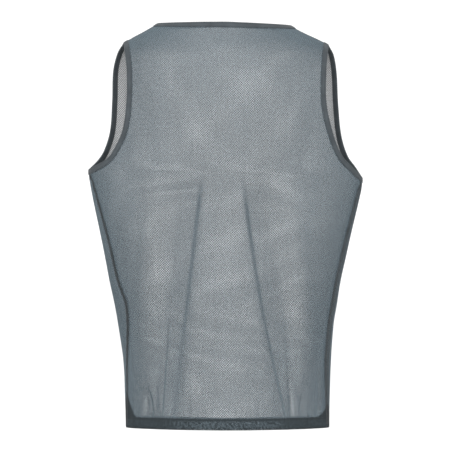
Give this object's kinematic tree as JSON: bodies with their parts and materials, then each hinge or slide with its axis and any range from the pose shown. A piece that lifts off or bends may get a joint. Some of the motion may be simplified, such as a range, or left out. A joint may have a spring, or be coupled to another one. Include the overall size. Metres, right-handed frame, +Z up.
{
  "type": "training bib",
  "caption": "Sleeveless pull-over training bib of open mesh knit with bound neck and armholes, in its hollow worn shape with neck, armholes and hem open.",
  "frame": {"origin": "midway between the wearer's shoulders, level with the neck ends of the shoulder seams, where the wearer's shoulders hold the bib", "axes": "+Z up, +Y the way the wearer faces, -X the wearer's left"},
  "size_m": [0.4746, 0.2537, 0.7092],
  "materials": {
    "mesh_knit": "sheer fine mesh knit, matt",
    "binding_knit": "dense plain knit, matt"
  },
  "bodies": {
    "root": {"back_panel": "mesh_knit", "front_panel": "mesh_knit", "hem_back": "mesh_knit", "hem_front": "mesh_knit", "neck_binding": "binding_knit", "armhole_binding_left": "binding_knit", "armhole_binding_right": "binding_knit", "shoulder_seam_left": "binding_knit", "shoulder_seam_right": "binding_knit", "side_seam_left": "binding_knit", "side_seam_right": "binding_knit"}
  },
  "joints": []
}
